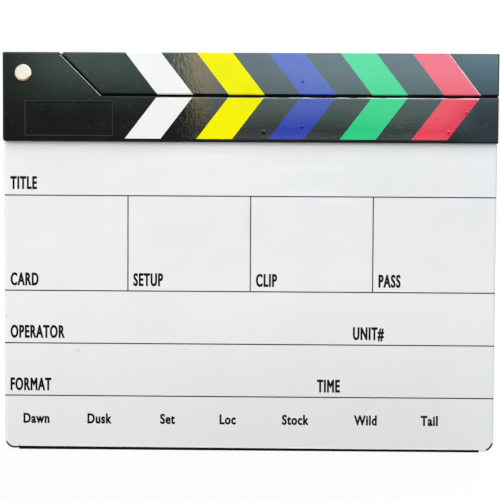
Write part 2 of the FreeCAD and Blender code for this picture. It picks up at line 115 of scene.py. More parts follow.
# Materials
class Nodes:
    """A node tree, and short ways to add to it."""

    def __init__(self, tree):
        self.tree = tree

    def add(self, kind, inputs=None, **settings):
        """Add a node, with its settings and what goes into it."""
        node = self.tree.nodes.new(kind)
        for name, setting in settings.items():
            setattr(node, name, setting)
        for name, source in (inputs or {}).items():
            self.feed(node.inputs[name], source)
        return node

    def feed(self, socket, source):
        """Link a socket to another node, or give it a value of its own."""
        if isinstance(source, bpy.types.NodeSocket):
            self.tree.links.new(source, socket)
        elif socket.type == "RGBA":
            socket.default_value = (*source, 1.0)
        else:
            socket.default_value = source

    def work(self, operation, *numbers):
        """Work out one operation on two or more numbers, from the left."""
        result = numbers[0]
        for number in numbers[1:]:
            result = self.add("ShaderNodeMath", {0: result, 1: number}, operation=operation).outputs[0]
        return result

    def total(self, *numbers):
        """Add numbers up."""
        return self.work("ADD", *numbers)

    def difference(self, first, second):
        """Take the second number from the first."""
        return self.work("SUBTRACT", first, second)

    def product(self, *numbers):
        """Multiply numbers together."""
        return self.work("MULTIPLY", *numbers)

    def largest(self, *numbers):
        """Pick the largest number."""
        return self.work("MAXIMUM", *numbers)

    def smallest(self, *numbers):
        """Pick the smallest number."""
        return self.work("MINIMUM", *numbers)

    def distance(self, number, middle=0.0):
        """How far a number is from a middle, on either side."""
        step = self.difference(number, middle)
        return self.add("ShaderNodeMath", {0: step}, operation="ABSOLUTE").outputs[0]

    def remap(self, number, low, high, to_low=0.0, to_high=1.0, kind="SMOOTHSTEP"):
        """Ease a number from one range to another."""
        node = self.add("ShaderNodeMapRange", {
            "Value": number, "From Min": low, "From Max": high, "To Min": to_low, "To Max": to_high,
        }, interpolation_type=kind)
        return node.outputs["Result"]

    def after(self, number, edge, width, share=1.0):
        """Zero up to an edge, easing to a share over a width beyond it."""
        return self.remap(number, edge, edge + width, 0.0, share)

    def before(self, number, edge, width, share=1.0):
        """A share up to an edge, easing to zero over a width beyond it."""
        return self.remap(number, edge, edge + width, share, 0.0)

    def mix(self, share, first, second):
        """Blend two colours."""
        node = self.add("ShaderNodeMix", data_type="RGBA")
        colour_inputs = [socket for socket in node.inputs if socket.type == "RGBA"]
        self.feed(node.inputs["Factor"], share)
        self.feed(colour_inputs[0], first)
        self.feed(colour_inputs[1], second)
        return next(socket for socket in node.outputs if socket.type == "RGBA")

    def seen(self):
        """One on rays that show the background: to the camera, in gloss and through glass."""
        rays = self.add("ShaderNodeLightPath").outputs
        return self.largest(rays["Is Camera Ray"], rays["Is Glossy Ray"], rays["Is Transmission Ray"])


class Finish(Nodes):
    """A material round one shader, with patterns laid out in the part's own metres."""

    def __init__(self, name):
        self.material = bpy.data.materials.new(name)
        self.material.use_nodes = True
        super().__init__(self.material.node_tree)
        self.shader = self.tree.nodes["Principled BSDF"]
        self.place = self.add("ShaderNodeTexCoord").outputs["Object"]
        axes = self.add("ShaderNodeSeparateXYZ", {"Vector": self.place}).outputs
        self.x, self.y, self.z = axes["X"], axes["Y"], axes["Z"]

    def surface(self, inputs):
        """Set the shader itself, and give back the finished material."""
        for name, source in inputs.items():
            self.feed(self.shader.inputs[name], source)
        return self.material

    def spread(self, size, stretch, turn):
        """Coordinates in which one unit is a given size, stretched along the axes."""
        scale = [1.0 / (size * factor) for factor in stretch]
        node = self.add("ShaderNodeMapping", {
            "Vector": self.place, "Rotation": (0.0, turn, 0.0), "Scale": scale,
        }, vector_type="POINT")
        return node.outputs["Vector"]

    def cloud(self, size, detail=2.0, stretch=NO_STRETCH, turn=0.0):
        """Soft uneven pattern whose patches are about a given size."""
        node = self.add("ShaderNodeTexNoise", {
            "Vector": self.spread(size, stretch, turn), "Scale": 1.0, "Detail": detail,
        })
        return node.outputs["Fac"]

    def patches(self, size, low=0.0, high=1.0, shown=SOFT, **pattern):
        """Soft uneven pattern that eases from a low number to a high one."""
        return self.remap(self.cloud(size, **pattern), *shown, low, high)

    def spots(self, spacing, radius, share=1.0, stretch=NO_STRETCH, turn=0.0):
        """Scattered round spots: a share where there is a spot, and zero elsewhere."""
        place = self.spread(spacing, stretch, turn)
        node = self.add("ShaderNodeTexVoronoi", {"Vector": place, "Scale": 1.0})
        core = radius / spacing / 2
        return self.before(node.outputs["Distance"], core, core, share)

    def length(self, across, up):
        """Length of a step across and up."""
        step = self.add("ShaderNodeCombineXYZ", {"X": across, "Y": up}).outputs["Vector"]
        return self.add("ShaderNodeVectorMath", {0: step}, operation="LENGTH").outputs["Value"]

    def along(self, direction, start, full):
        """Zero at one place along a direction, rising evenly to one at another."""
        reach = self.add("ShaderNodeVectorMath", {0: self.place, 1: direction}, operation="DOT_PRODUCT")
        return self.remap(reach.outputs["Value"], start, full, kind="LINEAR")

    def near(self, place, radius, share=1.0, core=0.3):
        """A share at a place and over a core round it, easing to zero at a radius."""
        away = self.add("ShaderNodeVectorMath", {0: self.place, 1: place}, operation="DISTANCE")
        return self.remap(away.outputs["Value"], radius * core, radius, share, 0.0)

    def bump(self, height, depth, under=None):
        """Raise the surface by a pattern, over any bump under it."""
        inputs = {"Height": height, "Distance": depth}
        if under:
            inputs["Normal"] = under
        return self.add("ShaderNodeBump", inputs).outputs["Normal"]


# Stray marks on the board: across, up and size in millimetres, and how dark
BOARD_MARKS = [
    (-98.1, 56.8, 0.8, 0.5),
    (-97.5, 57.4, 0.7, 0.4),
    (-61.7, 47.0, 0.9, 0.15),
    (-139.1, 77.2, 0.8, 0.8),
    (-138.9, 76.0, 0.6, 0.5),
]

# Soft bands of painted light and shade on the board, darker towards the bottom, shadowed under the stick,
# lighter on the right, lit at the left edge and foot, and shaded at the far edge: edge, width and share
LOWER_SHADE = (board_low.z + 10 * MM, 80 * MM, 0.95)
UNDER_STICK_SHADOW = (stick_low.z - 8 * MM, 6 * MM, 0.9)
RIGHT_LIGHT = (board_high.x - 40 * MM, 32 * MM, 0.14)
LIT_EDGE = (board_low.x, 2.2 * MM, 1.0)
LIT_FOOT = (trim_high.z + 0.4 * MM, 0.8 * MM, 0.9)
FAR_EDGE = (board_high.x - 1.6 * MM, 1.0 * MM, 0.8)

# From where to where across the board the painted shade towards the bottom grows, and from which share to
# which
LOWER_SHADE_ACROSS = (-110 * MM, 0.0, 0.6, 1.0)

# Painted shade in the board's lower corners: side, how far out it starts and how high it stays dark
CORNER_SHADE = [
    (-1, trim_high.x - 0.5 * MM, 3.0 * MM),
    (1, board_high.x - 4.3 * MM, 4.0 * MM),
]

# How softly that painted shade starts, across and up, and the line it keeps to inside the corner's radius
SHADE_EASE_ACROSS = 0.5 * MM
SHADE_EASE_UP = 1.5 * MM
BOARD_CORNER = 5.5 * MM
SHADE_LINE = (BOARD_CORNER - 1.3 * MM, 0.4 * MM)


def board_white(finish):
    """White of the board, clouded and marked, with painted shade towards the bottom, under the stick and at
    its far edge, and painted light on its right side, left edge and foot.
    """
    cool = finish.patches(60 * MM, shown=(0.42, 0.68), detail=3.0)
    warm = finish.patches(
        38 * MM, high=0.8, shown=(0.52, 0.74), detail=3.0, stretch=(1.6, 1.0, 1.0), turn=0.5
    )
    specks = finish.spots(spacing=22 * MM, radius=0.22 * MM, share=0.3)
    white = finish.mix(cool, BOARD_WHITE, BOARD_COOL)
    white = finish.mix(warm, white, BOARD_WARM)
    white = finish.mix(specks, white, DUST)
    for x, z, size, share in BOARD_MARKS:
        mark = finish.near((x * MM, board_low.y, z * MM), size * MM, share)
        white = finish.mix(mark, white, DUST)

    # Painted shade, darker towards the bottom of the board and more so away from its left
    lower_shade = finish.product(finish.before(finish.z, *LOWER_SHADE), finish.remap(finish.x, *LOWER_SHADE_ACROSS))
    white = finish.mix(lower_shade, white, BOARD_LOWER_SHADE)
    # Painted shadow on the board under the lower stick
    white = finish.mix(finish.after(finish.z, *UNDER_STICK_SHADOW), white, BOARD_SHADED)
    # Painted light on the board's right side
    white = finish.mix(finish.after(finish.x, *RIGHT_LIGHT), white, BOARD_RIGHT_LIGHT)
    lit = finish.largest(finish.before(finish.x, *LIT_EDGE), finish.before(finish.z, *LIT_FOOT))
    white = finish.mix(lit, white, BOARD_LIT)
    return finish.mix(finish.after(finish.x, *FAR_EDGE), white, BOARD_SHADED)


def corner_shade(finish):
    """Share of painted shade, a thin line round each of the board's lower corners."""
    past = finish.difference(finish.distance(finish.x), board_high.x - BOARD_CORNER)
    under = finish.difference(board_low.z + BOARD_CORNER, finish.z)
    out = finish.length(finish.largest(past, 0.0), finish.largest(under, 0.0))
    shaded = 0.0
    for side, start, top in CORNER_SHADE:
        beside = finish.after(finish.product(finish.x, side), start, SHADE_EASE_ACROSS)
        below = finish.before(finish.z, board_low.z + top, SHADE_EASE_UP)
        shaded = finish.largest(shaded, finish.product(below, beside))
    return finish.product(finish.after(out, *SHADE_LINE), shaded)


def board_acrylic():
    """Gloss white sheet with faint wipe marks and painted shade along its lower corners."""
    finish = Finish("gloss_white_acrylic")
    wipes = finish.patches(5 * MM, shown=PEAKS, detail=4.0, stretch=(7.0, 1.0, 1.0), turn=0.35)
    polish = finish.remap(wipes, 0.0, 1.0, to_low=0.14, to_high=0.26)
    corner_shading = corner_shade(finish)
    return finish.surface({
        "Base Color": finish.mix(corner_shading, board_white(finish), PAINTED_SHADE),
        "Roughness": finish.largest(polish, corner_shading),
        "Specular IOR Level": 0.4,
        "Normal": finish.bump(wipes, depth=0.002 * MM),
    })


# Hinge block: the line of its slanted cheek, along which x + z stays the same, and its recess
CHEEK_LINE = stick_low.x + 31.7 * MM + stick_high.z
RECESS_LEFT = stick_low.x + 12.8 * MM
RECESS_WIDTH = 49.3 * MM
RECESS_MIDDLE = RECESS_LEFT + RECESS_WIDTH / 2
RECESS_FOOT = stick_low.z + 3.4 * MM
RECESS_TOP = label_top - 3.0 * MM
RECESS_TURN = math.radians(3.5)
RECESS_TURN_DEPTH = 0.9 * MM

# Sink mark in the moulding near the free end of the fixed stick
SINK = (stick_high.x - 9.0 * MM, stick_low.y, stick_low.z + 11.0 * MM)
SINK_RADIUS = 3.0 * MM
SINK_DEPTH = 0.012 * MM

# Soft bands on the sticks, of painted highlight, relief and matt scuffing: edge, width and, where it isn't
# full, share
HIGHLIGHT_FRONT = (stick_low.y + 0.45 * MM, 0.15 * MM)
HIGHLIGHT_CHEEK = (CHEEK_LINE - 0.90 * MM, 0.15 * MM)
HIGHLIGHT_FROM = (label_top - 0.4 * MM, 0.8 * MM)
HIGHLIGHT_TO = (stick_high.z - 1.6 * MM, 0.4 * MM)
CREST_HIGHLIGHT = (label_top - 0.95 * MM, 0.20 * MM)
CREST_HIGHLIGHT_START = (CHEEK_LINE, 0.5 * MM)
RECESS_RIM_HIGHLIGHT = (0.10 * MM, 0.18 * MM, 0.06)
RECESS_INSIDE = (-0.2 * MM, 0.1 * MM)
SCUFFED_BEHIND = (stick_low.y + 0.75 * MM, 0.05 * MM)
SCUFFED_GAP = (0.50 * MM, 0.05 * MM)
SCUFFED_SLANT = (1.5 * MM, 0.1 * MM)
SCUFFED_SLANT_MIDDLE = CHEEK_LINE + 0.5 * MM
SCUFFED_FOOT = (stick_low.z + 0.85 * MM, 0.05 * MM)

# From where to where along the stick the crest's painted highlight grows, and from which share to which
CREST_HIGHLIGHT_ALONG = (-50 * MM, 120 * MM, 0.07, 0.16)


def painted_edge_highlights(finish, colour):
    """Painted highlights on the edges along the hinge block's slanted cheek, and faintly along the stick's
    crest.
    """
    slant = finish.total(finish.x, finish.z)
    front = finish.before(finish.y, *HIGHLIGHT_FRONT)
    cheek = finish.product(
        finish.after(slant, *HIGHLIGHT_CHEEK),
        finish.after(finish.z, *HIGHLIGHT_FROM),
        finish.before(finish.z, *HIGHLIGHT_TO),
        finish.patches(4 * MM, low=0.6, high=1.0, shown=(0.25, 0.6)),
    )
    colour = finish.mix(finish.product(cheek, front), colour, EDGE_HIGHLIGHT)
    crest = finish.product(
        finish.after(finish.z, *CREST_HIGHLIGHT),
        finish.after(slant, *CREST_HIGHLIGHT_START),
        finish.remap(finish.x, *CREST_HIGHLIGHT_ALONG),
    )
    return finish.mix(finish.product(crest, front), colour, EDGE_HIGHLIGHT)


def recess(finish, colour, normal):
    """Recess of the hinge block, with a painted highlight on its rim and a dark top."""
    aside = finish.difference(finish.distance(finish.x, RECESS_MIDDLE), RECESS_WIDTH / 2)
    over = finish.difference(finish.z, RECESS_TOP)
    under = finish.difference(RECESS_FOOT, finish.z)
    past = finish.largest(aside, over, under)
    # Painted highlight round the recess rim
    rim = finish.before(finish.distance(past), *RECESS_RIM_HIGHLIGHT)
    turned = finish.largest(finish.total(over, RECESS_TURN_DEPTH), 0.0)
    shade = finish.product(finish.before(past, *RECESS_INSIDE), turned, math.tan(RECESS_TURN))
    return finish.mix(rim, colour, EDGE_HIGHLIGHT), finish.bump(shade, 1.0, normal)


def scuffing(finish):
    """Share of matt scuffing: in the gap between the sticks, along the hinge's slant and under the foot."""
    gap = finish.before(finish.distance(finish.z, gap_middle), *SCUFFED_GAP)
    slant = finish.distance(finish.total(finish.x, finish.z), SCUFFED_SLANT_MIDDLE)
    inner = finish.largest(gap, finish.before(slant, *SCUFFED_SLANT))
    behind = finish.after(finish.y, *SCUFFED_BEHIND)
    return finish.largest(finish.product(inner, behind), finish.before(finish.z, *SCUFFED_FOOT))


def moulded_black(name, hinge_block=False):
    """Black moulding with dust and hairs, scuffed where the sticks strike; the hinge block has painted
    highlights on its edges and recess rim.
    """
    finish = Finish(name)
    tone = finish.patches(26 * MM, shown=(0.35, 0.7), detail=3.0)
    colour = finish.mix(tone, MOULDED_BLACK, MOULDED_GREY)
    dust = finish.spots(spacing=4.4 * MM, radius=0.42 * MM, share=0.35)
    hairs = finish.spots(spacing=11 * MM, radius=0.8 * MM, share=0.25, stretch=(0.2, 0.2, 1.0), turn=0.6)
    colour = finish.mix(finish.largest(dust, hairs), colour, DUST)
    normal = finish.bump(finish.cloud(0.45 * MM), depth=0.003 * MM)
    normal = finish.bump(finish.cloud(9 * MM, detail=1.0), depth=0.012 * MM, under=normal)
    if hinge_block:
        # Painted highlights along the hinge block's edges
        colour = painted_edge_highlights(finish, colour)
        colour, normal = recess(finish, colour, normal)
        normal = finish.bump(finish.near(SINK, SINK_RADIUS), -SINK_DEPTH, normal)
    polish = finish.patches(12 * MM, low=0.05, high=0.08, detail=3.0)
    return finish.surface({
        "Base Color": colour,
        "Roughness": finish.largest(polish, scuffing(finish)),
        "Specular IOR Level": 0.33,
        "Normal": normal,
    })


# Gloss of the printed film, and how far each stick's film leans, back and to the right
FILM_GLOSS = 0.35
PRINT_GLOSS = {"white": 0.10, "yellow": 0.03, "green": 0.29, "red": 0.33}
FILM_LEAN = {"upper": (math.radians(1.0), 0.0), "lower": (0.0, math.radians(0.3))}

# How far each film rolls back at its top, and how far down that starts
FILM_ROLL = {"upper": 0.0, "lower": math.radians(2.2)}
FILM_ROLL_DEPTH = 0.6 * MM

# How far each film turns out at its foot, below zero where it turns in, and how high up that starts
FILM_CURL = {"upper": (math.radians(-0.55), 12 * MM), "lower": (math.radians(0.5), 5.2 * MM)}

# Where each stick's film went on badly: middle, half width and depth of its ripples
ROUGH_FILM = {
    "upper": (-37 * MM, 13 * MM, 0.014 * MM),
    "lower": (-31 * MM, 13 * MM, 0.009 * MM),
}
ROUGH_CORE = 0.7
PIT_DEPTH = 0.012 * MM

# Painted shade on the white edging over the lower stick's top, where it meets the gap: depth, how wavy it
# is, and where its darker left part ends
EDGING_SHADE = (0.50 * MM, 0.15 * MM)
EDGING_WAVE = 0.15 * MM
EDGING_SHADE_END = (4 * MM, 6 * MM, 0.85)

# Blisters of the film: stick, colour, across, up and radius in millimetres, and how dark the painted shade
# in its middle is
BLISTERS = [
    ("upper", "blue", 29.5, 210.6, 0.9, 0.6),
    ("lower", "blue", 29.0, 185.2, 1.3, 1.0),
    ("lower", "black", 7.7, 182.2, 1.5, 1.0),
    ("lower", "red", 112.0, 182.3, 1.5, 1.0),
    ("lower", "red", 121.6, 193.6, 1.2, 1.0),
    ("lower", "red", 115.6, 185.3, 0.9, 0.4),
]

# Painted shade in the middle of a blister: its radius as a share of the blister's, and how much of it is
# evenly dark
DARK_MIDDLE_SHARE = 0.6
DARK_MIDDLE_CORE = 0.7

# Print where it is deeper, and the dull specks in it: shares of its colour, and the grey added to a speck
DEEPER_SHARE = 0.96
SPECK_SHARE = 0.35
SPECK_GREY = 0.1


def film_colour(finish, colour):
    """Print a little deeper in places, with faint dull specks."""
    deeper = tuple(channel * DEEPER_SHARE for channel in colour)
    dull = tuple(channel * SPECK_SHARE + SPECK_GREY for channel in colour)
    specks = finish.spots(spacing=8 * MM, radius=0.25 * MM, share=0.3)
    shade = finish.mix(finish.patches(17 * MM, detail=4.0), colour, deeper)
    return finish.mix(specks, shade, dull)


def shaded_edging(finish, shade):
    """Painted shade along the top of the white edging, in the gap between the sticks, and over most of its
    left part.
    """
    wavy = finish.patches(9 * MM, low=-EDGING_WAVE, high=EDGING_WAVE)
    depth = finish.total(finish.difference(label_top, finish.z), wavy)
    top = finish.before(depth, *EDGING_SHADE)
    left = finish.before(finish.x, *EDGING_SHADE_END)
    return finish.mix(finish.largest(top, left), shade, PAINTED_SHADE)


def film_relief(finish, stick):
    """Lean, roll and curl of a stick's film, its faint ripples, and the coarse ones where it is rough."""
    low, high = film_boxes[stick]
    back, right = FILM_LEAN[stick]
    lean_back = finish.product(finish.z, -math.tan(back))
    lean_right = finish.product(finish.x, -math.tan(right))
    rolled = finish.largest(finish.difference(finish.z, high.z - FILM_ROLL_DEPTH), 0.0)
    rolled = finish.product(rolled, -math.tan(FILM_ROLL[stick]))
    curl, height = FILM_CURL[stick]
    curled = finish.largest(finish.difference(low.z + height, finish.z), 0.0)
    curled = finish.product(curled, curled, math.tan(curl) / 2 / height)
    normal = finish.bump(finish.total(lean_back, lean_right, rolled, curled), depth=1.0)
    normal = finish.bump(finish.cloud(15 * MM, detail=1.0), depth=0.02 * MM, under=normal)
    ripples = finish.cloud(1.1 * MM, stretch=(0.8, 1.0, 1.6))
    normal = finish.bump(ripples, depth=0.009 * MM, under=normal)

    middle, half, depth = ROUGH_FILM[stick]
    rough = finish.remap(finish.distance(finish.x, middle), half * ROUGH_CORE, half, 1.0, 0.0)
    coarse = finish.cloud(2.4 * MM, detail=1.0, stretch=(0.7, 1.0, 1.8))
    pits = finish.spots(spacing=1.7 * MM, radius=0.40 * MM)
    normal = finish.bump(finish.product(rough, coarse), depth, normal)
    return finish.bump(finish.product(rough, pits), -PIT_DEPTH, normal)


def gloss_film(stick, name, colour, specular=FILM_GLOSS, edging=False):
    """Gloss vinyl film on a stick, with painted shade in the middle of each blister; the lower stick's
    edging has painted shade.
    """
    finish = Finish(f"{stick}_{name}")
    shade = film_colour(finish, colour)
    if edging:
        # Painted shade on the lower stick's white edging
        shade = shaded_edging(finish, shade)
    polish = finish.patches(20 * MM, low=0.03, high=0.05)
    darker = tuple(channel ** 2 for channel in colour)
    for where, printed, x, z, radius, share in BLISTERS:
        if where == stick and name == f"{printed}_print":
            place = (x * MM, film_boxes[stick][0].y, z * MM)
            # Painted shade, also rougher, in the middle of each blister
            dark_middle = finish.near(place, DARK_MIDDLE_SHARE * radius * MM, share, DARK_MIDDLE_CORE)
            shade = finish.mix(dark_middle, shade, darker)
            polish = finish.largest(polish, dark_middle)
    return finish.surface({
        "Base Color": shade,
        "Roughness": polish,
        "Specular IOR Level": specular,
        "Normal": film_relief(finish, stick),
    })


# Wear on the pivot head, in radii: edge and width of each soft band, its lean, and how patchy it is
HEAD_RIM = (0.76, 0.06)
HEAD_UNDER = (0.30, 0.25)
HEAD_UNDER_LEAN = 0.1
HEAD_BRASS = (-0.45, 0.40)
HEAD_OLIVE = (0.15, 0.30)
HEAD_PATCHES = 0.2

# Where behind the head's face its side is painted dark as shade, and over what width
HEAD_SIDE = (post_low.y + 0.75 * MM, 0.25 * MM)

# Grain of the small metal and plastic pieces; matt plastic has finer patches and grains than its tone
GRAIN_DEPTH = 0.01 * MM
MATT_PATCHES = 3
MATT_GRAINS = 12
MATT_SWING = 0.06


def worn_and_shaded_head(finish, colour):
    """Pivot head worn to brass along its lower rim, with painted shade on its side."""
    across = finish.product(finish.difference(finish.x, post_middle.x), 1 / post_radius)
    up = finish.product(finish.difference(finish.z, post_middle.z), 1 / post_radius)
    under = finish.difference(finish.product(across, HEAD_UNDER_LEAN), up)
    patchy = finish.patches(1.0 * MM, low=-HEAD_PATCHES, high=HEAD_PATCHES, detail=3.0)
    turn = finish.total(across, patchy)
    brass = finish.mix(finish.after(turn, *HEAD_BRASS), BRASS_PALE, BRASS)
    brass = finish.mix(finish.after(turn, *HEAD_OLIVE), brass, BRASS_OLIVE)
    rim = finish.after(finish.length(across, up), *HEAD_RIM)
    colour = finish.mix(finish.product(rim, finish.after(under, *HEAD_UNDER)), colour, brass)
    # Painted shade on the head's side
    return finish.mix(finish.after(finish.y, *HEAD_SIDE), colour, HEAD_SIDE_SHADE)


def bright_nickel(name, first, second, worn=False):
    """Satin nickel plate in two tones; on the front head of the pivot, worn to brass along its rim and with
    painted shade on its side.
    """
    finish = Finish(name)
    colour = finish.mix(finish.patches(0.5 * MM, shown=EVEN, detail=3.0), first, second)
    if worn:
        colour = worn_and_shaded_head(finish, colour)
    return finish.surface({
        "Base Color": colour,
        "Metallic": 1.0,
        "Roughness": finish.patches(0.8 * MM, low=0.34, high=0.46),
        "Normal": finish.bump(finish.cloud(0.25 * MM), GRAIN_DEPTH),
    })


def zinc_plate():
    """Zinc plated screws with a faint straw tint."""
    finish = Finish("zinc_plate")
    return finish.surface({
        "Base Color": finish.mix(finish.patches(1.6 * MM, shown=EVEN, detail=3.0), ZINC, ZINC_WARM),
        "Metallic": 1.0,
        "Roughness": finish.patches(0.6 * MM, low=0.30, high=0.46),
        "Normal": finish.bump(finish.cloud(0.3 * MM), GRAIN_DEPTH),
    })


def matt_plastic(name, first, second, size, roughness, specular=0.5):
    """Matt plastic with a little uneven tone and a fine grain."""
    finish = Finish(name)
    smoother = roughness - MATT_SWING
    rougher = roughness + MATT_SWING
    return finish.surface({
        "Base Color": finish.mix(finish.patches(size, shown=EVEN, detail=3.0), first, second),
        "Roughness": finish.patches(size / MATT_PATCHES, smoother, rougher),
        "Specular IOR Level": specular,
        "Normal": finish.bump(finish.cloud(size / MATT_GRAINS), GRAIN_DEPTH),
    })


def printed_ink():
    """Screen printed black, a little thinner in places."""
    finish = Finish("printed_ink")
    return finish.surface({
        "Base Color": finish.mix(finish.patches(3 * MM, shown=PEAKS, detail=4.0), INK, INK_THIN),
        "Roughness": finish.patches(1.5 * MM, low=0.45, high=0.60),
        "Specular IOR Level": 0.06,
    })


def dress(node, material):
    """Give a solid of the frame its finish."""
    mesh = nodes[node].data
    mesh.materials.clear()
    mesh.materials.append(material)


# Finishes of the solids
black = moulded_black("moulded_black")
dress("lower_stick_front", moulded_black("moulded_black_highlit", hinge_block=True))
for node in ("lower_stick_rear", "upper_stick_front", "upper_stick_rear"):
    dress(node, black)
dress("writing_board", board_acrylic())
trim = matt_plastic("matt_black_trim", TRIM_BLACK, TRIM_GREY, 5 * MM, 0.62, 0.03)
dress("bottom_edge_trim", trim)
nylon = matt_plastic("natural_nylon", NYLON, NYLON_SHADE, 3 * MM, 0.45)
for side in ("front", "rear"):
    dress(f"{side}_hinge_washer", nylon)
# Front pivot head: warmer, brighter nickel as painted light, worn brass, and painted shade on its side
dress("pivot_post", bright_nickel("bright_nickel_worn_and_lit", NICKEL_WARM_LIT, NICKEL_WARM_LIT_BRIGHT, worn=True))
dress("pivot_screw", bright_nickel("bright_nickel", NICKEL, NICKEL_BRIGHT))
zinc = zinc_plate()
films = {}
for stick in STICKS:
    dress(f"{stick}_stick_screws", zinc)
    dress(f"{stick}_label", gloss_film(stick, "vinyl", VINYL_WHITE, edging=stick == "lower"))
    films[stick] = {"black": gloss_film(stick, "black_print", PRINT_BLACK)}
    dress(f"{stick}_black_bands", films[stick]["black"])
    for colour, shade in PRINTS.items():
        gloss = PRINT_GLOSS.get(colour, FILM_GLOSS)
        films[stick][colour] = gloss_film(stick, f"{colour}_print", shade, gloss)
        dress(f"{stick}_{colour}_stripe", films[stick][colour])
ink = printed_ink()


# Pieces
def add_piece(name, mesh, material, body):
    """Make a piece from a mesh in the making, and fix it to a body of the frame."""
    data = bpy.data.meshes.new(name)
    mesh.to_mesh(data)
    mesh.free()
    data.materials.append(material)
    piece = bpy.data.objects.new(name, data)
    scene.collection.objects.link(piece)
    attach(piece, body)


# Printed rules of the writing board
PRINT_LIFT = 0.03 * MM
RULE_WIDTH = 0.64 * MM
RULE_INSET = 0.1 * MM
RULE_HEIGHTS = [height * MM for height in (145.8, 91.4, 61.2, 31.0)]
DIVIDER_PLACES = [place * MM for place in (-69.4, 0.5, 70.25)]


def add_bar(mesh, left, bottom, right, top):
    """Add a thin upright bar that lies on the front of the board."""
    size = (right - left, PRINT_LIFT, top - bottom)
    middle = ((left + right) / 2, board_low.y - PRINT_LIFT / 2, (bottom + top) / 2)
    matrix = Matrix.Translation(middle) @ Matrix.Diagonal((*size, 1.0))
    bmesh.ops.create_cube(mesh, size=1.0, matrix=matrix)


def board_rules():
    """Horizontal rules right across the board, and the dividers between the first two."""
    mesh = bmesh.new()
    half = RULE_WIDTH / 2
    for height in RULE_HEIGHTS:
        add_bar(mesh, board_low.x + RULE_INSET, height - half, board_high.x - RULE_INSET, height + half)
    for place in DIVIDER_PLACES:
        add_bar(mesh, place - half, RULE_HEIGHTS[1] + half, place + half, RULE_HEIGHTS[0] - half)
    add_piece("board_rules", mesh, ink, SLATE)


def raise_print(mesh):
    """Thicken flat faces that lie on the front of the board."""
    raised = bmesh.ops.extrude_face_region(mesh, geom=mesh.faces[:])["geom"]
    tops = [item for item in raised if isinstance(item, bmesh.types.BMVert)]
    bmesh.ops.translate(mesh, verts=tops, vec=(0.0, -PRINT_LIFT, 0.0))


# Thin dark strip on the board just above the edge trim, across and above the trim's top
STRIP_LEFT_RISE = 0.50 * MM
STRIP_RIGHT_RISE = 0.08 * MM
STRIP_TAPER_END = 60 * MM
STRIP_TICK = 0.5 * MM


def trim_dark_strip():
    """Thin dark strip that tapers to the right, with a small upright tick at its left end."""
    left, right, top = trim_low.x, trim_high.x, trim_high.z
    outline = [
        (left, top - STRIP_RIGHT_RISE),
        (right, top - STRIP_RIGHT_RISE),
        (right, top + STRIP_RIGHT_RISE),
        (STRIP_TAPER_END, top + STRIP_RIGHT_RISE),
        (left + STRIP_TICK, top + STRIP_LEFT_RISE),
        (left + STRIP_TICK, top + STRIP_LEFT_RISE + STRIP_TICK),
        (left, top + STRIP_LEFT_RISE + STRIP_TICK),
    ]
    mesh = bmesh.new()
    mesh.faces.new([mesh.verts.new((x, board_low.y, z)) for x, z in outline])
    raise_print(mesh)
    add_piece("trim_dark_strip", mesh, trim, SLATE)


# Letters, in font sizes: height of a capital and shortest step of an outline
FONT_CAPITAL = 0.682
SHORTEST_STEP = 0.002

# Outlines: points along each curve, and the least cosine with which a corner is moved out
CURVE_POINTS = 6
SHARPEST = 0.5

# Filling: only the triangles inside the outlines, and points nearer than the grain are one
FILL_KIND = 1
FILL_GRAIN = 1e-6

# Styles: height of a capital, how narrow, how far apart, and the gain in font sizes that makes it bold
CAPITALS = {"height": 6.8 * MM, "narrow": 0.54, "spacing": 1.16, "gain": 0.030}
SMALL_LETTERS = {"height": 5.3 * MM, "narrow": 0.76, "spacing": 1.12, "gain": 0.036}

# Printed field names, in general words: word, left end and base line in millimetres, and style
FIELD_NAMES = [
    ("TITLE", -136.6, 149.5, CAPITALS),
    ("CARD", -136.6, 94.5, CAPITALS),
    ("SETUP", -66.3, 94.5, CAPITALS),
    ("CLIP", 3.7, 94.5, CAPITALS),
    ("PASS", 73.6, 94.5, CAPITALS),
    ("OPERATOR", -136.7, 64.4, CAPITALS),
    ("UNIT#", 59.3, 64.4, CAPITALS),
    ("FORMAT", -136.8, 34.1, CAPITALS),
    ("TIME", 39.0, 34.1, CAPITALS),
    ("Dawn", -129.4, 15.2, SMALL_LETTERS),
    ("Dusk", -92.6, 15.2, SMALL_LETTERS),
    ("Set", -50.8, 15.2, SMALL_LETTERS),
    ("Loc", -16.7, 15.2, SMALL_LETTERS),
    ("Stock", 19.1, 15.2, SMALL_LETTERS),
    ("Wild", 60.3, 15.2, SMALL_LETTERS),
    ("Tail", 98.5, 15.2, SMALL_LETTERS),
]


def letter_outlines(text, style):
    """Narrowed outlines of a word in the built-in font, one font size high."""
    letters = bpy.data.curves.new(text, "FONT")
    letters.body = text
    letters.space_character = style["spacing"]
    holder = bpy.data.objects.new(text, letters)
    scene.collection.objects.link(holder)
    bpy.context.view_layer.update()
    graph = bpy.context.evaluated_depsgraph_get()
    outlines = []
    for spline in holder.evaluated_get(graph).to_curve(graph).splines:
        knots = list(spline.bezier_points)
        steps = []
        for knot, following in zip(knots, knots[1:] + knots[:1]):
            ends = (knot.co, knot.handle_right, following.handle_left, following.co)
            steps += interpolate_bezier(*ends, CURVE_POINTS)[:-1]
        points = [Vector((step.x * style["narrow"], step.y)) for step in steps]
        pairs = zip(points[-1:] + points[:-1], points)
        outlines.append([point for last, point in pairs if (point - last).length > SHORTEST_STEP])
    bpy.data.objects.remove(holder)
    return outlines


def signed_area(points):
    """Area inside an outline, below zero where it runs clockwise."""
    return sum(first.cross(second) for first, second in zip(points, points[1:] + points[:1])) / 2


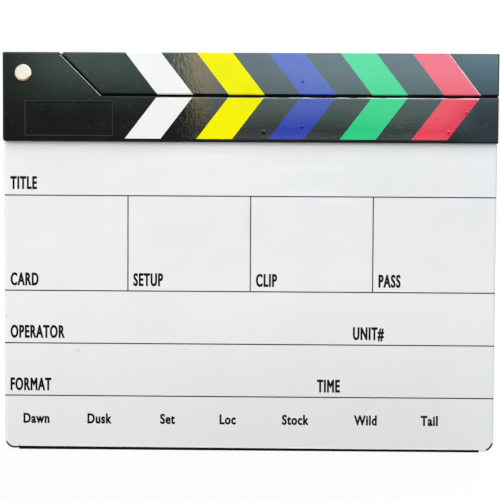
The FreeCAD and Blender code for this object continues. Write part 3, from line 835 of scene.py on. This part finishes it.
def grown(points, gain):
    """Outline moved to its right by an even gain, a little more at the corners."""
    moved = []
    for before, point, after in zip(points[-1:] + points[:-1], points, points[1:] + points[:1]):
        into = (point - before).normalized()
        ahead = (into + (after - point).normalized()).normalized()
        reach = gain / max(ahead.dot(into), SHARPEST)
        moved.append(point + reach * Vector((ahead.y, -ahead.x)))
    return moved


def turns_round(place, lines):
    """How many times closed outlines, given as their lines, turn round a place."""
    x, y = place
    turns = 0
    for start_x, start_y, end_x, end_y in lines:
        if (start_y > y) != (end_y > y):
            crossing = start_x + (end_x - start_x) * (y - start_y) / (end_y - start_y)
            if crossing > x:
                turns += 1 if end_y > start_y else -1
    return turns


def filled(outlines):
    """Points and triangles that fill outlines, also where they cross each other."""
    points = []
    edges = []
    for outline in outlines:
        first = len(points)
        points += outline
        edges += [(first + i, first + (i + 1) % len(outline)) for i in range(len(outline))]
    places, _, triangles, *_ = delaunay_2d_cdt(points, edges, [], FILL_KIND, FILL_GRAIN)
    lines = [(*points[i], *points[j]) for i, j in edges]
    kept = []
    for triangle in triangles:
        middle = sum((places[i] for i in triangle), Vector((0.0, 0.0))) / len(triangle)
        if turns_round(middle, lines):
            kept.append(triangle)
    return places, kept


def field_name(text, left, base, style):
    """One printed word, narrowed and then thickened evenly, lying on the front of the board."""
    outlines = letter_outlines(text, style)
    gain = math.copysign(style["gain"], sum(signed_area(outline) for outline in outlines))
    places, triangles = filled([grown(outline, gain) for outline in outlines])
    scale = style["height"] / FONT_CAPITAL
    start = min(place.x for place in places)
    mesh = bmesh.new()
    corners = []
    for place in places:
        x = left + (place.x - start) * scale
        z = base + place.y * scale
        corners.append(mesh.verts.new((x, board_low.y, z)))
    for triangle in triangles:
        mesh.faces.new([corners[i] for i in triangle])
    raise_print(mesh)
    name = "field_" + text.lower().replace("#", "_number")
    add_piece(name, mesh, ink, SLATE)


# Blisters of the printed film, whose rise is a share of their radius
BLISTER_RISE = 0.04
BLISTER_RINGS = 6
BLISTER_SIDES = 20


def blister(name, stick, colour, x, z, radius):
    """Low round swelling whose edge runs out flat into the film."""
    face = film_boxes[stick][0].y
    rise = BLISTER_RISE * radius
    mesh = bmesh.new()
    rings = []
    for i in range(1, BLISTER_RINGS + 1):
        share = i / BLISTER_RINGS
        lift = rise * (0.5 + 0.5 * math.cos(math.pi * share))
        ring = []
        for j in range(BLISTER_SIDES):
            angle = 2 * math.pi * j / BLISTER_SIDES
            across = x + share * radius * math.cos(angle)
            up = z + share * radius * math.sin(angle)
            ring.append(mesh.verts.new((across, face - lift, up)))
        rings.append(ring)
    top = mesh.verts.new((x, face - rise, z))
    for j in range(BLISTER_SIDES):
        k = (j + 1) % BLISTER_SIDES
        mesh.faces.new((top, rings[0][j], rings[0][k]))
        for inner, outer in zip(rings, rings[1:]):
            mesh.faces.new((inner[j], outer[j], outer[k], inner[k]))
    mesh.faces.new(list(reversed(rings[-1])))
    bmesh.ops.recalc_face_normals(mesh, faces=mesh.faces)
    for surface in mesh.faces:
        surface.smooth = len(surface.verts) < BLISTER_SIDES
    add_piece(name, mesh, films[stick][colour], STICKS[stick])


board_rules()
trim_dark_strip()
for text, left, base, style in FIELD_NAMES:
    field_name(text, left * MM, base * MM, style)
for number, (stick, colour, x, z, radius, _) in enumerate(BLISTERS, 1):
    blister(f"{stick}_{colour}_blister_{number}", stick, colour, x * MM, z * MM, radius * MM)

# Studio
scene.view_settings.view_transform = "Standard"
BOARD_MIDDLE = (0.0, 0.0, 0.14)
ACROSS = Vector((1.0, 0.0, 0.0))
UP = Vector((0.0, 0.0, 1.0))
SQUARE = ((-1, -1), (1, -1), (1, 1), (-1, 1))
AMBIENT_LOW = 0.60
AMBIENT_HIGH = 0.66

# Floor: how much it glows near the object and far off
FLOOR_GREY = (0.15, 0.15, 0.15)
FLOOR_HALF = 4.0
FLOOR_NEAR = 0.4
FLOOR_FAR = 1.6
FLOOR_NEAR_LIFT = 0.85
FLOOR_FAR_LIFT = 0.91

# Lamps: name, place, size, power and colour
LAMPS = [
    ("key", (-0.30, -1.55, 0.42), 1.2, 22.0, (1.0, 0.996, 1.0)),
    ("back", (0.5, 1.3, 1.0), 1.0, 14.0, WHITE),
]

# Room that the gloss reflects: its place, its half width and the lights of its parts
ROOM_Y = -1.5
ROOM_HALF = 1.6
ROOM_LIGHT = (0.22, 0.22, 0.22)
WALL_LIGHT = (2.0, 3.08, 2.5)
CURTAIN_FOOT_LIGHT = (5.7, 4.95, 2.85)
CURTAIN_LIGHT = (9.6, 8.3, 5.2)
JAMB_LIGHT = (2.0, 0.5, 0.4)
WINDOW_FOOT_LIGHT = (2.8, 4.0, 3.7)
WINDOW_LIGHT = (5.80, 8.45, 9.4)
WINDOW_END_FOOT_LIGHT = (0.95, 1.48, 1.85)
WINDOW_END_LIGHT = (7.1, 12.5, 15.2)

# Where each part of the room starts and where it is full, across or up
WALL_RISE = (0.250, 0.312)
WALL_START = (-0.42, -0.30)
FOOT_RISE = (0.200, 0.250)
LIGHT_RISE = (0.245, 0.385)
CURTAIN_LINE = ACROSS + 0.25 * UP
CURTAIN_START = (-0.035, -0.028)
WINDOW_START = (-0.078, -0.070)
WINDOW_END_START = (0.29, 0.32)
ROOM_FOOT = (0.10, 0.17)
ROOM_TOP = (0.44, 0.64)
ROOM_SIDE = (0.50, 0.70)

# From where to where across the room a share grows, and from which to which
FOOT_ACROSS = (0.14, 0.24, 1.0, 1.3)
CLEAR_OF_JAMB = (-0.08, 0.10, 0.74, 1.0)

# Skylight that the gloss reflects
SKY_DIM_LIGHT = (2.4, 2.9, 2.6)
SKY_LIGHT = (3.9, 4.3, 4.2)
SKY_START = (-0.22, -0.16)
SKYLIGHT_HALF = 0.6
SKYLIGHT_HEIGHT = 1.5


def studio_world():
    """White background, and a dimmer light on the object, a little stronger from above."""
    world = bpy.data.worlds.new("studio")
    world.use_nodes = True
    sky = Nodes(world.node_tree)
    direction = sky.add("ShaderNodeTexCoord").outputs["Generated"]
    height = sky.add("ShaderNodeSeparateXYZ", {"Vector": direction}).outputs["Z"]
    ambient = sky.remap(height, 0.0, 1.0, AMBIENT_LOW, AMBIENT_HIGH)
    level = sky.add("ShaderNodeMix", {0: sky.seen(), 2: ambient, 3: 1.0}, data_type="FLOAT")
    background = sky.tree.nodes["Background"]
    sky.feed(background.inputs["Color"], WHITE)
    sky.feed(background.inputs["Strength"], level.outputs[0])
    scene.world = world


def stage_sheet(name, corners, material):
    """Flat sheet of the studio, not of the object."""
    mesh = bpy.data.meshes.new(name)
    mesh.from_pydata(corners, [], [(0, 1, 2, 3)])
    mesh.materials.append(material)
    sheet = bpy.data.objects.new(name, mesh)
    scene.collection.objects.link(sheet)
    return sheet


def studio_floor():
    """Pale floor that shows white, more so far off, and keeps the object's shadow."""
    finish = Finish("pale_floor")
    away = finish.length(finish.x, finish.y)
    lift = finish.remap(away, FLOOR_NEAR, FLOOR_FAR, FLOOR_NEAR_LIFT, FLOOR_FAR_LIFT)
    material = finish.surface({
        "Base Color": FLOOR_GREY,
        "Roughness": 0.9,
        "Specular IOR Level": 0.0,
        "Emission Color": WHITE,
        "Emission Strength": finish.product(finish.seen(), lift),
    })
    stage_sheet("floor", [(x * FLOOR_HALF, y * FLOOR_HALF, 0.0) for x, y in SQUARE], material)


def gloss_sheet(name, corners, finish, glow):
    """Glowing sheet of the studio that only gloss reflects."""
    material = finish.surface({
        "Base Color": BLACK,
        "Specular IOR Level": 0.0,
        "Emission Color": glow,
        "Emission Strength": 1.0,
    })
    sheet = stage_sheet(name, corners, material)
    sheet.visible_camera = False
    sheet.visible_diffuse = False
    sheet.visible_shadow = False


def reflected_room():
    """Dim room behind the camera: from the left a wall, a curtain and a window, each lighter upwards."""
    finish = Finish("dim_room")
    foot = finish.product(finish.along(UP, *FOOT_RISE), finish.remap(finish.x, *FOOT_ACROSS))
    foot = finish.smallest(foot, 1.0)
    rise = finish.along(UP, *LIGHT_RISE)
    curtain = finish.mix(rise, finish.mix(foot, ROOM_LIGHT, CURTAIN_FOOT_LIGHT), CURTAIN_LIGHT)
    window = finish.mix(rise, finish.mix(foot, ROOM_LIGHT, WINDOW_FOOT_LIGHT), WINDOW_LIGHT)
    window = finish.mix(finish.remap(finish.x, *CLEAR_OF_JAMB, "LINEAR"), JAMB_LIGHT, window)
    window_end = finish.mix(rise, WINDOW_END_FOOT_LIGHT, WINDOW_END_LIGHT)
    window = finish.mix(finish.along(ACROSS, *WINDOW_END_START), window, window_end)

    wall = finish.product(finish.along(UP, *WALL_RISE), finish.along(ACROSS, *WALL_START))
    glow = finish.mix(wall, ROOM_LIGHT, WALL_LIGHT)
    glow = finish.mix(finish.along(CURTAIN_LINE, *CURTAIN_START), glow, curtain)
    glow = finish.mix(finish.along(ACROSS, *WINDOW_START), glow, window)
    outside = finish.largest(finish.along(UP, *ROOM_TOP), finish.along(ACROSS, *ROOM_SIDE))
    glow = finish.mix(outside, glow, ROOM_LIGHT)
    glow = finish.mix(finish.along(UP, *ROOM_FOOT), BLACK, glow)
    reach = finish.largest(finish.distance(finish.x), finish.z)
    glow = finish.mix(finish.after(reach, ROOM_HALF / 2, ROOM_HALF / 2), glow, WHITE)
    corners = [(x * ROOM_HALF, ROOM_Y, (z + 1) / 2 * ROOM_HALF) for x, z in SQUARE]
    gloss_sheet("dim_room", corners, finish, glow)


def reflected_skylight():
    """Light overhead, so that the upper edges shine as the faces below them do."""
    finish = Finish("skylight")
    glow = finish.mix(finish.along(ACROSS, *SKY_START), SKY_DIM_LIGHT, SKY_LIGHT)
    reach = finish.largest(finish.distance(finish.x), finish.distance(finish.y))
    glow = finish.mix(finish.after(reach, SKYLIGHT_HALF / 2, SKYLIGHT_HALF / 2), glow, WHITE)
    corners = [(x * SKYLIGHT_HALF, y * SKYLIGHT_HALF, SKYLIGHT_HEIGHT) for x, y in SQUARE]
    gloss_sheet("skylight", corners, finish, glow)


def soft_light(name, place, size, power, colour):
    """Square soft box that faces the board, left out of the gloss, which shows the room instead."""
    light = bpy.data.lights.new(name, "AREA")
    light.size = size
    light.energy = power
    light.color = colour
    lamp = bpy.data.objects.new(name, light)
    lamp.location = place
    lamp.rotation_euler = (Vector(BOARD_MIDDLE) - Vector(place)).to_track_quat("-Z", "Y").to_euler()
    lamp.visible_glossy = False
    scene.collection.objects.link(lamp)


studio_world()
studio_floor()
reflected_room()
reflected_skylight()
for lamp in LAMPS:
    soft_light(*lamp)

# Camera, with its turns in degrees
SENSOR_WIDTH = 36.0
FOCAL_PIXELS = 1578.5
FRAME_PIXELS = 500.0
CAMERA_PLACE = (13.05 * MM, -900.0 * MM, 164.2 * MM)
CAMERA_TURN = 0.816
CAMERA_TILT = 3.118
CAMERA_ROLL = 0.315

lens = bpy.data.cameras.new("camera")
lens.sensor_width = SENSOR_WIDTH
lens.lens = FOCAL_PIXELS * SENSOR_WIDTH / FRAME_PIXELS
camera = bpy.data.objects.new("camera", lens)
camera.matrix_world = (
    Matrix.Translation(CAMERA_PLACE)
    @ Matrix.Rotation(math.radians(CAMERA_TURN), 4, "Z")
    @ Matrix.Rotation(math.radians(90.0 - CAMERA_TILT), 4, "X")
    @ Matrix.Rotation(math.radians(CAMERA_ROLL), 4, "Z")
)
scene.collection.objects.link(camera)
scene.camera = camera
